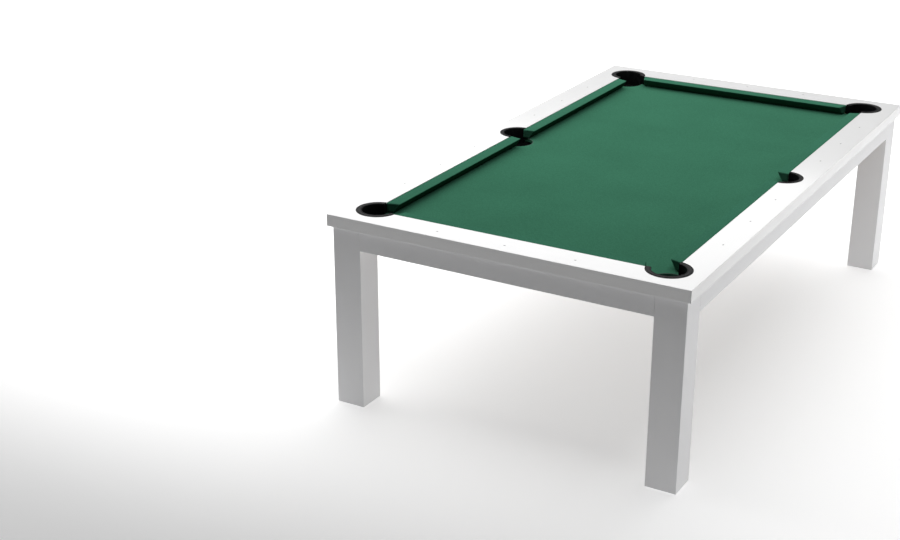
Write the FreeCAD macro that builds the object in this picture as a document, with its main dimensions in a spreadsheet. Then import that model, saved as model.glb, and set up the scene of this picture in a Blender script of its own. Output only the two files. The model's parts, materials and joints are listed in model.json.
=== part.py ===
"""Seven-foot pool table with drop pockets, a one-piece slate and four square legs.

Frame: the origin is on the floor under the middle of the table, +X runs along the
length towards the foot end, +Y towards the left side, +Z up.  Millimetres.
Every length comes from the sheet "sizes"; each piece is bound to its cells.
"""
import FreeCAD, Part

import math
import os

import Sketcher

SIZES = (
    # overall
    ("table_length", 2467.0, "over the rail fascias"),
    ("table_width", 1400.0, "over the rail fascias"),
    ("table_height", 755.0, "floor to the top of the rails"),
    # rail caps
    ("cap_width", 119.0, "white top, outer edge to cushion"),
    ("cap_thickness", 18.0, "board"),
    ("fascia_thickness", 12.0, "skirt glued under the cap's outer edge"),
    ("fascia_height", 45.0, "visible height of the rail's edge"),
    ("edge_round", 1.2, "rounded arrises of the lacquered boards"),
    # cabinet
    ("apron_setback", 16.0, "rail edge to apron and leg face"),
    ("apron_thickness", 20.0, "board"),
    ("apron_drop", 124.0, "rail top to apron bottom"),
    ("apron_seam", 0.4, "gap between an apron and a leg"),
    ("leg_width", 114.0, "square leg"),
    ("leg_wall", 20.0, "boards of the hollow leg"),
    # bed
    ("bed_drop", 40.0, "rail top to the cloth on the bed"),
    ("bed_cloth_thickness", 1.0, ""),
    ("slate_thickness", 19.0, ""),
    ("slate_setback", 40.0, "rail edge to slate edge"),
    ("bed_hole_radius", 64.0, "pocket hole in slate and sub-rail"),
    # cushions
    ("cushion_width", 47.5, "cap edge to nose"),
    ("cushion_step", 2.0, "rail top to cushion top at the cap"),
    ("nose_drop", 4.6, "rail top to nose"),
    ("nose_radius", 1.6, "half height of the blunt nose"),
    ("cushion_foot_width", 25.0, "width of the underside"),
    ("cushion_lift", 3.0, "underside above the bed cloth"),
    ("cushion_cloth_thickness", 1.0, ""),
    ("facing_thickness", 3.0, "rubber pad on each cushion end"),
    ("corner_nose_end", 228.0, "rail end to the nose's end, corner pocket"),
    ("corner_back_end", 212.0, "rail end to the cushion's back end, corner pocket"),
    ("side_nose_half", 62.0, "middle to the nose's end, side pocket"),
    ("side_back_half", 53.0, "middle to the cushion's back end, side pocket"),
    # pockets
    ("corner_pocket_inset", 133.0, "rail edges to pocket centre"),
    ("side_pocket_inset", 121.0, "rail edge to pocket centre"),
    ("collar_radius", 80.0, "outer edge of a corner pocket's collar"),
    ("side_collar_radius", 75.0, "outer edge of a side pocket's collar"),
    ("collar_bore", 59.0, "inside radius of the collar"),
    ("collar_proud", 1.5, "collar above the rail top"),
    ("collar_sunk", 4.0, "collar flange let into the cap"),
    ("collar_groove", 1.0, "depth of the ring groove in the flange"),
    ("skirt_wall", 3.0, "liner wall under the collar"),
    ("skirt_lift", 2.0, "liner's lower edge above the slate's underside"),
    ("collar_clearance", 0.3, "collar to cap"),
    ("tub_radius", 62.0, "inside radius of the ball tub"),
    ("tub_wall", 4.0, ""),
    ("tub_floor", 4.0, ""),
    ("tub_reach", 72.0, "pocket centre to the tub's inner centre"),
    ("tub_fall", 0.22, "slope of the tub's floor"),
    ("tub_gap", 4.5, "tub above the leg's inner corner"),
    ("ear_length", 16.0, "screw ear, out from the tub's wall"),
    ("ear_width", 20.0, ""),
    ("ear_thickness", 4.0, ""),
    # frame
    ("sill_thickness", 18.0, ""),
    ("beam_width", 40.0, ""),
    ("beam_offset_inner", 200.0, "middle to the inner cross beams"),
    ("beam_offset_outer", 780.0, "middle to the outer cross beams"),
    # feet
    ("foot_gap", 2.0, "floor to the leg's end, foot screwed in"),
    ("foot_block_height", 44.0, ""),
    ("top_block_height", 30.0, ""),
    ("recess_radius", 26.0, "recess for the foot"),
    ("recess_depth", 9.0, ""),
    ("insert_radius", 8.5, "outside of the threaded insert"),
    ("insert_length", 30.0, ""),
    ("stud_radius", 6.0, "M12"),
    ("stud_clearance", 0.1, "stud in insert and in pad, radial"),
    ("stud_length", 60.0, ""),
    ("stud_lift", 0.2, "stud above the floor of its socket"),
    ("hex_radius", 10.9, "hexagon on the stud, across corners"),
    ("hex_height", 4.6, ""),
    ("pad_radius", 22.0, ""),
    ("pad_thickness", 5.0, ""),
    ("pad_chamfer", 1.2, ""),
    ("socket_depth", 3.0, ""),
    # brackets and fasteners
    ("bracket_lap", 1.0, "corner bracket past the hollow of the leg"),
    ("bracket_height", 50.0, ""),
    ("bracket_thickness", 4.0, ""),
    ("bracket_bolt_along", 26.0, "corner to flange bolt"),
    ("bracket_bolt_rise", 28.0, "frame bottom to flange bolt"),
    ("bracket_bolt_depth", 12.0, "flange bolt into the leg's wall"),
    ("leg_bolt_along", 20.0, "bracket's corner to the upright bolt"),
    ("leg_bolt_depth", 26.0, "upright bolt into the leg's top block"),
    ("bolt_radius", 4.0, "M8"),
    ("bolt_hole_radius", 4.5, "clearance hole"),
    ("bolt_head_radius", 7.0, ""),
    ("bolt_head_height", 5.0, ""),
    ("washer_radius", 12.0, ""),
    ("washer_thickness", 2.0, ""),
    ("rail_bolt_inset", 86.0, "rail edge to rail bolt"),
    ("rail_bolt_depth", 15.0, "rail bolt into the sub-rail"),
    ("rail_bolt_spacing", 300.0, ""),
    ("screw_radius", 2.0, "tub screw"),
    ("screw_depth", 10.0, "tub screw into the slate"),
    ("screw_head_radius", 4.0, ""),
    ("screw_head_height", 2.5, ""),
    # sights
    ("sight_length", 12.0, "along the rail"),
    ("sight_width", 7.0, ""),
    ("sight_depth", 1.5, ""),
    ("side_sight_inset", 61.0, "rail edge to sight, long rails"),
    ("end_sight_inset", 50.0, "rail edge to sight, end rails"),
)

TRIM = 20.0        # how far a cutting outline runs past what it cuts
ROOT_TWO = math.sqrt(2.0)


class Size:
    """A length that carries its number and its spreadsheet expression."""

    def __init__(self, text, value):
        self.text = text
        self.value = value

    def __add__(self, other):
        return combine(self, "+", other, self.value + value_of(other))

    def __sub__(self, other):
        return combine(self, "-", other, self.value - value_of(other))

    def __mul__(self, other):
        return combine(self, "*", other, self.value * value_of(other))

    def __truediv__(self, other):
        return combine(self, "/", other, self.value / value_of(other))

    def __neg__(self):
        return Size("(-1 * %s)" % self.text, -self.value)


def value_of(size):
    return size.value if isinstance(size, Size) else float(size)


def text_of(size):
    return size.text if isinstance(size, Size) else "%.9g" % size


def combine(left, sign, right, value):
    return Size("(%s %s %s)" % (left.text, sign, text_of(right)), value)


def as_size(number):
    return number if isinstance(number, Size) else Size(text_of(number), float(number))


class Sizes:
    """The sheet's cells as Size attributes."""

    def __init__(self, sheet):
        for row, (alias, value, meaning) in enumerate(SIZES, start=1):
            sheet.set("A%d" % row, alias)
            sheet.set("B%d" % row, "%g" % value)
            sheet.setAlias("B%d" % row, alias)
            if meaning:
                sheet.set("C%d" % row, meaning)
            setattr(self, alias, Size("sizes.%s" % alias, value))


doc = FreeCAD.newDocument("pool_table")
sheet = doc.addObject("Spreadsheet::Sheet", "sizes")
size = Sizes(sheet)
doc.recompute()

ZERO = as_size(0)

# heights
rail_top = size.table_height
cap_underside = rail_top - size.cap_thickness
fascia_bottom = rail_top - size.fascia_height
bed_top = rail_top - size.bed_drop
slate_top = bed_top - size.bed_cloth_thickness
slate_underside = slate_top - size.slate_thickness
frame_bottom = rail_top - size.apron_drop
frame_height = slate_underside - frame_bottom
cabinet_height = cap_underside - frame_bottom

# plan
half_length = size.table_length / 2
half_width = size.table_width / 2
apron_inside = size.apron_setback + size.apron_thickness
sill_inside = apron_inside + size.sill_thickness
leg_inside = size.apron_setback + size.leg_width
leg_centre = size.apron_setback + size.leg_width / 2
skirt_radius = size.collar_bore + size.skirt_wall
nose_inset = size.cap_width + size.cushion_width
sight_spacing = (size.table_length - nose_inset * 2) / 8      # eighths of the playing area

# side or end, span along the rail, reach from the middle to the rail's outer edge, turn
RAILS = (
    ("right", size.table_length, half_width, 0),
    ("foot", size.table_width, half_length, 90),
    ("left", size.table_length, half_width, 180),
    ("head", size.table_width, half_length, 270),
)
# name, side of X, side of Y, turn that points the corner frame's axes inwards
CORNERS = (
    ("head_right", -1, -1, 0),
    ("foot_right", 1, -1, 90),
    ("foot_left", 1, 1, 180),
    ("head_left", -1, 1, 270),
)
SIDE_POCKETS = (("right", -1, 0), ("left", 1, 180))

nodes = []


# ---------------------------------------------------------------- helpers

def bind(thing, name, length):
    """Ties one property to the sheet."""
    if isinstance(length, Size):
        thing.setExpression(name, length.text)


def place(thing, x, y, z, turn):
    """Puts a sub-part at a point of the table, turned about Z."""
    base = FreeCAD.Vector(value_of(x), value_of(y), value_of(z))
    thing.Placement = FreeCAD.Placement(base, FreeCAD.Rotation(FreeCAD.Vector(0, 0, 1), turn))
    bind(thing, "Placement.Base.x", x)
    bind(thing, "Placement.Base.y", y)
    bind(thing, "Placement.Base.z", z)
    return thing


def quarter_turn(x, y, turn):
    """A point of a rail's own frame, in the table's frame."""
    if turn == 0:
        return x, y
    if turn == 90:
        return -y, x
    if turn == 180:
        return -x, -y
    return y, -x


def node(thing, label):
    thing.Label = label
    nodes.append(thing)
    return thing


def new_body(name):
    return doc.addObject("PartDesign::Body", name)


def new_sketch(body, role, offset):
    """A sketch on one of the body's origin planes, moved along the plane's normal."""
    sketch = body.newObject("Sketcher::SketchObject", "Sketch")
    plane = [item for item in body.Origin.OriginFeatures if item.Role == role][0]
    sketch.AttachmentSupport = [(plane, "")]
    sketch.MapMode = "FlatFace"
    sketch.AttachmentOffset = FreeCAD.Placement(
        FreeCAD.Vector(0, 0, value_of(offset)), FreeCAD.Rotation())
    bind(sketch, "AttachmentOffset.Base.z", offset)
    return sketch


def fix(sketch, kind, geometry, point, length):
    """Holds one coordinate of a point of the sketch at a length from its origin."""
    rule = Sketcher.Constraint(kind, -1, 1, geometry, point, value_of(length))
    index = sketch.addConstraint(rule)
    bind(sketch, "Constraints[%d]" % index, length)


def draw_polygon(sketch, points):
    first = sketch.GeometryCount
    corners = [FreeCAD.Vector(value_of(x), value_of(y), 0) for x, y in points]
    count = len(corners)
    for index in range(count):
        line = Part.LineSegment(corners[index], corners[(index + 1) % count])
        sketch.addGeometry(line, False)
    for index in range(count):
        following = first + (index + 1) % count
        sketch.addConstraint(Sketcher.Constraint("Coincident", first + index, 2, following, 1))
    for index, (x, y) in enumerate(points):
        fix(sketch, "DistanceX", first + index, 1, x)
        fix(sketch, "DistanceY", first + index, 1, y)


def draw_circle(sketch, x, y, radius):
    centre = FreeCAD.Vector(value_of(x), value_of(y), 0)
    up = FreeCAD.Vector(0, 0, 1)
    index = sketch.addGeometry(Part.Circle(centre, up, value_of(radius)), False)
    fix(sketch, "DistanceX", index, 3, x)
    fix(sketch, "DistanceY", index, 3, y)
    rule = sketch.addConstraint(Sketcher.Constraint("Radius", index, value_of(radius)))
    bind(sketch, "Constraints[%d]" % rule, radius)


def pad(body, sketch, length):
    """Extrudes along the sketch's normal."""
    feature = body.newObject("PartDesign::Pad", "Pad")
    feature.Profile = sketch
    feature.Length = value_of(length)
    bind(feature, "Length", length)
    sketch.Visibility = False
    doc.recompute()
    return feature


def pocket(body, sketch, length):
    """Cuts against the sketch's normal, and makes sure that something went."""
    before = body.Shape.Volume
    feature = body.newObject("PartDesign::Pocket", "Pocket")
    feature.Profile = sketch
    feature.Length = value_of(length)
    bind(feature, "Length", length)
    sketch.Visibility = False
    doc.recompute()
    if body.Shape.Volume > before - 1e-6:
        raise RuntimeError("%s: a pocket cuts nothing" % body.Name)
    return feature


def slab(name, outline, bottom, height):
    """A body padded up from a flat outline."""
    body = new_body(name)
    sketch = new_sketch(body, "XY_Plane", bottom)
    draw_polygon(sketch, outline)
    pad(body, sketch, height)
    return body


def box_outline(x_low, y_low, x_high, y_high):
    return ((x_low, y_low), (x_high, y_low), (x_high, y_high), (x_low, y_high))


def drill(body, top, depth, circles):
    """Cuts round holes down from a height; circles are (x, y, radius)."""
    sketch = new_sketch(body, "XY_Plane", top)
    for x, y, radius in circles:
        draw_circle(sketch, x, y, radius)
    pocket(body, sketch, depth)


def near(one, other):
    return abs(one - other) < 1e-3


def round_edges(body, radius, chosen):
    """Fillets the edges whose two ends pass the test."""
    tip = body.Tip
    names = []
    for index, edge in enumerate(tip.Shape.Edges, start=1):
        ends = [vertex.Point for vertex in edge.Vertexes]
        if len(ends) == 2 and chosen(*ends):
            names.append("Edge%d" % index)
    feature = body.newObject("PartDesign::Fillet", "Fillet")
    feature.Base = (tip, names)
    feature.Radius = value_of(radius)
    bind(feature, "Radius", radius)
    doc.recompute()


def lathe(name, profile):
    """A body turned about its Z axis from (radius, height) points."""
    body = new_body(name)
    sketch = new_sketch(body, "XZ_Plane", 0)
    draw_polygon(sketch, profile)
    feature = body.newObject("PartDesign::Revolution", "Revolution")
    feature.Profile = sketch
    feature.ReferenceAxis = (sketch, ["V_Axis"])
    feature.Angle = 360
    sketch.Visibility = False
    doc.recompute()
    return body


def cylinder(name, radius, height):
    rod = doc.addObject("Part::Cylinder", name)
    rod.Radius = value_of(radius)
    rod.Height = value_of(height)
    bind(rod, "Radius", radius)
    bind(rod, "Height", height)
    return rod


def group(label, members):
    """Several separate solids in one node."""
    compound = doc.addObject("Part::Compound", label)
    compound.Links = members
    return node(compound, label)


# ---------------------------------------------------------------- rails

def mitred_outline(span, reach, outer_inset, inner_inset):
    """The plan of a rail board whose ends meet its neighbours at 45 degrees."""
    half = span / 2
    outer = half - outer_inset
    inner = half - inner_inset
    return ((-outer, outer_inset - reach), (outer, outer_inset - reach),
            (inner, inner_inset - reach), (-inner, inner_inset - reach))


def corner_pocket_places(span, reach):
    """The two corner pocket centres at the ends of a rail, in the rail's frame."""
    along = span / 2 - size.corner_pocket_inset
    across = size.corner_pocket_inset - reach
    return (-along, across), (along, across)


def rail_pockets(side, span, reach):
    """Centre and collar radius of every pocket that a rail is cut for."""
    places = [(x, y, size.collar_radius) for x, y in corner_pocket_places(span, reach)]
    if side in ("right", "left"):
        places.append((0, size.side_pocket_inset - reach, size.side_collar_radius))
    return places


def sight_places(side, reach):
    """Sight centres in the rail's frame: three an end rail, six a long one."""
    if side in ("right", "left"):
        steps = (-3, -2, -1, 1, 2, 3)
        inset = size.side_sight_inset
    else:
        steps = (-1, 0, 1)
        inset = size.end_sight_inset
    return [(sight_spacing * step, inset - reach) for step in steps]


def diamond(x, y):
    long_half = size.sight_length / 2
    short_half = size.sight_width / 2
    return ((x - long_half, y), (x, y - short_half), (x + long_half, y), (x, y + short_half))


def rail_cap(side, span, reach, turn):
    """White rail top with its skirt, cut for the collars and the sights."""
    cap = slab("RailCap", mitred_outline(span, reach, ZERO, size.cap_width),
               cap_underside, size.cap_thickness)
    skirt = new_sketch(cap, "XY_Plane", fascia_bottom)
    draw_polygon(skirt, mitred_outline(span, reach, ZERO, size.fascia_thickness))
    pad(cap, skirt, cap_underside - fascia_bottom)
    pockets = rail_pockets(side, span, reach)
    bore = skirt_radius + size.collar_clearance
    seats = [(x, y, radius + size.collar_clearance) for x, y, radius in pockets]
    drill(cap, rail_top, size.cap_thickness, [(x, y, bore) for x, y, _ in pockets])
    drill(cap, rail_top, size.collar_sunk, seats)
    marks = new_sketch(cap, "XY_Plane", rail_top)
    for x, y in sight_places(side, reach):
        draw_polygon(marks, diamond(as_size(x), y))
    pocket(cap, marks, size.sight_depth)
    outer = -value_of(reach)
    top = value_of(rail_top)
    bottom = value_of(fascia_bottom)

    def long_arris(start, end):
        on_face = near(start.y, outer) and near(end.y, outer)
        return on_face and near(start.z, end.z) and (near(start.z, top) or near(start.z, bottom))

    round_edges(cap, size.edge_round, long_arris)
    return node(place(cap, 0, 0, 0, turn), "rail_cap_" + side)


def sub_rail(side, span, reach, turn):
    """Timber under the cap that carries the cushion and is bolted to the slate."""
    end_inset = apron_inside if side in ("right", "left") else size.cap_width
    half = span / 2 - end_inset
    outline = box_outline(-half, apron_inside - reach, half, size.cap_width - reach)
    rail = slab("SubRail", outline, bed_top, cap_underside - bed_top)
    holes = [(x, y, size.bed_hole_radius) for x, y, _ in rail_pockets(side, span, reach)]
    drill(rail, cap_underside, cap_underside - bed_top, holes)
    bolts = [(x, y, size.bolt_radius) for x, y in rail_bolt_places(side, reach)]
    drill(rail, bed_top + size.rail_bolt_depth, size.rail_bolt_depth, bolts)
    return node(place(rail, 0, 0, 0, turn), "sub_rail_" + side)


def rail_bolt_places(side, reach):
    """Bolt centres in the rail's frame, clear of the beams and the pockets."""
    if side in ("right", "left"):
        steps = (-3, -2, -1, 1, 2, 3)
    else:
        steps = (-1, 0, 1)
    return [(size.rail_bolt_spacing * step, size.rail_bolt_inset - reach) for step in steps]


def cushion_section(reach, cover):
    """Cushion corners (across, height) from the top at the cap round to the foot; each
    corner moves in by cover: the top down, the nose back and the foot up."""
    back = size.cap_width - reach
    nose = back + size.cushion_width
    nose_height = rail_top - size.nose_drop
    return ((back, rail_top - size.cushion_step - cover),
            (nose - size.nose_radius, nose_height + size.nose_radius - cover),
            (nose - cover, nose_height),
            (nose - size.nose_radius / 2 - cover, nose_height - size.nose_radius),
            (back + size.cushion_foot_width, bed_top + size.cushion_lift + cover))


def cushion_block(name, reach, ends, low_trim, high_trim, cover):
    """One cushion-shaped solid.  ends are (nose, back) places along the rail at the low
    and the high end; a trim moves an end inwards; cover shrinks the section."""
    (low_nose, low_back), (high_nose, high_back) = ends
    back = size.cap_width - reach
    nose = back + size.cushion_width
    outline = ((low_back + low_trim, back), (low_nose + low_trim, nose),
               (high_nose - high_trim, nose), (high_back - high_trim, back))
    section = cushion_section(reach, cover)
    top = section[0][1]
    foot_edge, foot = section[-1]
    block = slab(name, outline, foot, top - foot)
    waste = new_sketch(block, "YZ_Plane", half_length)
    over = top + TRIM
    under = foot - TRIM
    draw_polygon(waste, section + ((foot_edge, under), (nose + TRIM, under), (nose + TRIM, over),
                                   (back - TRIM, over), (back - TRIM, top)))
    pocket(block, waste, size.table_length)
    return block


def cushion_ends(side, span):
    """(nose, back) places of both ends of every cushion on a rail."""
    nose = span / 2 - size.corner_nose_end
    back = span / 2 - size.corner_back_end
    if side in ("head", "foot"):
        return (("", ((-nose, -back), (nose, back))),)
    low = ((-nose, -back), (-size.side_nose_half, -size.side_back_half))
    high = ((size.side_nose_half, size.side_back_half), (nose, back))
    # the turn of the left rail swaps which half is nearer the head end
    names = ("_head", "_foot") if side == "right" else ("_foot", "_head")
    return ((names[0], low), (names[1], high))


rubbers = {"side": [], "end": []}
facings = []


def cushions(side, span, reach, turn):
    """Rubber, end facings and cloth of each cushion on a rail."""
    cloth = size.cushion_cloth_thickness
    kind = "side" if side in ("right", "left") else "end"
    for name, ends in cushion_ends(side, span):
        outside = cushion_block("CushionOutside", reach, ends, ZERO, ZERO, ZERO)
        inside = cushion_block("CushionInside", reach, ends, cloth, cloth, cloth)
        cover = doc.addObject("Part::Cut", "CushionCloth")
        cover.Base = outside
        cover.Tool = inside
        node(place(cover, 0, 0, 0, turn), "cushion_cloth_" + side + name)
        trim = cloth + size.facing_thickness
        rubber = cushion_block("CushionRubber", reach, ends, trim, trim, cloth)
        rubbers[kind].append(place(rubber, 0, 0, 0, turn))
        (low_nose, low_back), (high_nose, high_back) = ends
        low = ((low_nose, low_back), (low_nose + trim, low_back + trim))
        high = ((high_nose - trim, high_back - trim), (high_nose, high_back))
        for pad_ends, low_trim, high_trim in ((low, cloth, ZERO), (high, ZERO, cloth)):
            piece = cushion_block("Facing", reach, pad_ends, low_trim, high_trim, cloth)
            facings.append(place(piece, 0, 0, 0, turn))


def apron(side, span, reach, turn):
    """Board between two legs, under the rail."""
    half = span / 2 - leg_inside - size.apron_seam
    outline = box_outline(-half, size.apron_setback - reach, half, apron_inside - reach)
    board = slab("Apron", outline, frame_bottom, cabinet_height)
    low = value_of(frame_bottom)
    outer = value_of(size.apron_setback - reach)

    def lower_arris(start, end):
        return all(near(point.z, low) and near(point.y, outer) for point in (start, end))

    round_edges(board, size.edge_round, lower_arris)
    return node(place(board, 0, 0, 0, turn), "apron_" + side)


def flange_bolt_height():
    return frame_bottom + size.bracket_bolt_rise


def side_holes(body, plane_at, depth, places, radius):
    """Cuts round holes across a rail-frame body, towards the table's middle."""
    sketch = new_sketch(body, "XZ_Plane", -plane_at)
    for x, z in places:
        draw_circle(sketch, x, z, radius)
    pocket(body, sketch, depth)


def sill(side, span, reach, turn):
    """Timber sill inside an apron; the slate lies on it."""
    end_inset = apron_inside if side in ("right", "left") else sill_inside
    half = span / 2 - end_inset
    outline = box_outline(-half, apron_inside - reach, half, sill_inside - reach)
    beam = slab("Sill", outline, frame_bottom, frame_height)
    along = span / 2 - sill_inside - size.bracket_bolt_along
    height = flange_bolt_height()
    side_holes(beam, apron_inside - reach, size.sill_thickness,
               ((-along, height), (along, height)), size.bolt_hole_radius)
    return node(place(beam, 0, 0, 0, turn), "frame_sill_" + side)


for rail in RAILS:
    rail_cap(*rail)
for rail in RAILS:
    sub_rail(*rail)
for rail in RAILS:
    cushions(*rail)
group("side_cushion_rubbers", rubbers["side"])
group("end_cushion_rubbers", rubbers["end"])
group("cushion_facings", facings)
for rail in RAILS:
    apron(*rail)
for rail in RAILS:
    sill(*rail)


# ---------------------------------------------------------------- bed and frame

def pocket_centres():
    """All six pocket centres in the table's frame."""
    along = half_length - size.corner_pocket_inset
    across = half_width - size.corner_pocket_inset
    centres = [(along * x_side, across * y_side) for _, x_side, y_side, _ in CORNERS]
    reach = half_width - size.side_pocket_inset
    return centres + [(0, reach * y_side) for _, y_side, _ in SIDE_POCKETS]


def all_rail_bolts():
    bolts = []
    for side, _, reach, turn in RAILS:
        for x, y in rail_bolt_places(side, reach):
            bolts.append(quarter_turn(as_size(x), y, turn))
    return bolts


def bed_outline():
    half_x = half_length - size.slate_setback
    half_y = half_width - size.slate_setback
    return box_outline(-half_x, -half_y, half_x, half_y)


def slate():
    bed = slab("Slate", bed_outline(), slate_underside, size.slate_thickness)
    centres = pocket_centres()
    drill(bed, slate_top, size.slate_thickness,
          [(x, y, size.bed_hole_radius) for x, y in centres])
    drill(bed, slate_top, size.slate_thickness,
          [(x, y, size.bolt_hole_radius) for x, y in all_rail_bolts()])
    screws = [(x, y, size.screw_radius) for x, y in all_tub_screws()]
    drill(bed, slate_underside + size.screw_depth, size.screw_depth, screws)
    return node(place(bed, 0, 0, 0, 0), "slate_bed")


def bed_cloth():
    """Cloth over the slate, turned down inside the pocket holes."""
    cloth = slab("BedCloth", bed_outline(), slate_top, size.bed_cloth_thickness)
    hole = size.bed_hole_radius - size.bed_cloth_thickness
    centres = pocket_centres()
    drill(cloth, bed_top, size.bed_cloth_thickness, [(x, y, hole) for x, y in centres])
    drill(cloth, bed_top, size.bed_cloth_thickness,
          [(x, y, size.bolt_hole_radius) for x, y in all_rail_bolts()])
    turned_down = new_sketch(cloth, "XY_Plane", slate_underside)
    for x, y in centres:
        draw_circle(turned_down, x, y, size.bed_hole_radius)
        draw_circle(turned_down, x, y, hole)
    pad(cloth, turned_down, size.slate_thickness)
    return node(place(cloth, 0, 0, 0, 0), "bed_cloth")


def cross_beams():
    """Four beams between the long sills, under the slate."""
    half = size.beam_width / 2
    reach = half_width - sill_inside
    beams = []
    for offset in (size.beam_offset_inner, size.beam_offset_outer):
        for side in (-1, 1):
            middle = offset * side
            outline = box_outline(middle - half, -reach, middle + half, reach)
            beams.append(slab("CrossBeam", outline, frame_bottom, frame_height))
    return group("frame_cross_beams", beams)


# ---------------------------------------------------------------- pockets

def collar_profile(outer):
    """Liner wall with a flange on top: (radius, height) points."""
    bore = size.collar_bore
    top = rail_top + size.collar_proud
    seat = rail_top - size.collar_sunk
    groove = (bore + outer) / 2 + size.collar_groove
    return ((bore, slate_underside + size.skirt_lift),
            (skirt_radius, slate_underside + size.skirt_lift),
            (skirt_radius, seat),
            (outer, seat),
            (outer, top - size.collar_groove),
            (outer - size.collar_groove, top),
            (groove + size.collar_groove * 2, top),
            (groove + size.collar_groove, top - size.collar_groove),
            (groove - size.collar_groove, top - size.collar_groove),
            (groove - size.collar_groove * 2, top),
            (bore + size.collar_groove * 2, top),
            (bore, top - size.collar_groove * 2))


def collar(label, outer, open_outline, cheeks, x, y, turn):
    """Moulded collar and liner, open towards the bed; cheeks run on to the cushions."""
    ring = lathe("Collar", collar_profile(outer))
    opening = new_sketch(ring, "XY_Plane", rail_top + TRIM)
    draw_polygon(opening, open_outline)
    pocket(ring, opening, rail_top - slate_underside + TRIM * 2)
    for outline in cheeks:
        cheek = new_sketch(ring, "XY_Plane", bed_top)
        draw_polygon(cheek, outline)
        pad(ring, cheek, rail_top - size.collar_sunk - bed_top)
    return node(place(ring, x, y, 0, turn), label)


def collars():
    beyond = size.collar_radius + TRIM
    # the corner liner laps the inner edges of both rails as far as the cushions' backs
    edge = size.cap_width - size.corner_pocket_inset
    inside = edge + size.skirt_wall
    cushion_back = size.corner_back_end - size.corner_pocket_inset
    corner_opening = ((inside, inside), (cushion_back, inside), (cushion_back, edge),
                      (beyond, edge), (beyond, beyond), (edge, beyond), (edge, cushion_back),
                      (inside, cushion_back))
    cheeks = (box_outline(size.collar_bore, edge, cushion_back, inside),
              box_outline(edge, size.collar_bore, inside, cushion_back))
    for name, x_side, y_side, turn in CORNERS:
        x = (half_length - size.corner_pocket_inset) * x_side
        y = (half_width - size.corner_pocket_inset) * y_side
        collar("pocket_collar_" + name, size.collar_radius, corner_opening, cheeks, x, y, turn)
    side_edge = size.cap_width - size.side_pocket_inset
    side_opening = box_outline(-beyond, side_edge, beyond, beyond)
    for name, y_side, turn in SIDE_POCKETS:
        y = (half_width - size.side_pocket_inset) * y_side
        label = "pocket_collar_side_" + name
        collar(label, size.side_collar_radius, side_opening, (), 0, y, turn)


def tub_places():
    """Name, place and turn of each ball tub; its own +X points to the table's middle."""
    places = []
    for name, x_side, y_side, turn in CORNERS:
        x = (half_length - size.corner_pocket_inset) * x_side
        y = (half_width - size.corner_pocket_inset) * y_side
        places.append((name, x, y, turn + 45))
    for name, y_side, turn in SIDE_POCKETS:
        y = (half_width - size.side_pocket_inset) * y_side
        places.append(("side_" + name, ZERO, y, turn + 90))
    return places


def ear_centres():
    """Screw centres of a tub, in its own frame."""
    out = size.tub_radius + size.tub_wall + size.ear_length / 2
    return ((ZERO, out), (ZERO, -out), (size.tub_reach + out, ZERO))


def all_tub_screws():
    """Screw centres of all tubs, in the table's frame."""
    screws = []
    for _, x, y, turn in tub_places():
        cosine = math.cos(math.radians(turn))
        sine = math.sin(math.radians(turn))
        for ear_x, ear_y in ear_centres():
            screws.append((x + ear_x * cosine - ear_y * sine, y + ear_x * sine + ear_y * cosine))
    return screws


def stadium(name, radius, bottom, height):
    """Upright prism with two round ends, the second one tub_reach along X."""
    first = cylinder(name + "Near", radius, height)
    place(first, 0, 0, bottom, 0)
    second = cylinder(name + "Far", radius, height)
    place(second, size.tub_reach, 0, bottom, 0)
    middle = doc.addObject("Part::Box", name + "Middle")
    for prop, length in (("Length", size.tub_reach), ("Width", radius * 2), ("Height", height)):
        setattr(middle, prop, value_of(length))
        bind(middle, prop, length)
    place(middle, 0, -radius, bottom, 0)
    whole = doc.addObject("Part::MultiFuse", name)
    whole.Shapes = [first, middle, second]
    whole.Refine = True
    return whole


def sloped_block(name, raise_by, top):
    """Everything above the tub's sloping underside, raised by raise_by, up to top."""
    wide = size.tub_radius + size.tub_wall + TRIM
    far = size.tub_reach + wide
    leg_corner = (leg_inside - size.corner_pocket_inset) * ROOT_TWO
    level = frame_bottom + size.tub_gap + raise_by
    near_height = level + (wide + leg_corner) * size.tub_fall
    far_height = level - (far - leg_corner) * size.tub_fall
    block = new_body(name)
    sketch = new_sketch(block, "XZ_Plane", -wide)
    draw_polygon(sketch, ((-wide, near_height), (far, far_height), (far, top), (-wide, top)))
    pad(block, sketch, wide * 2)
    return block


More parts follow.
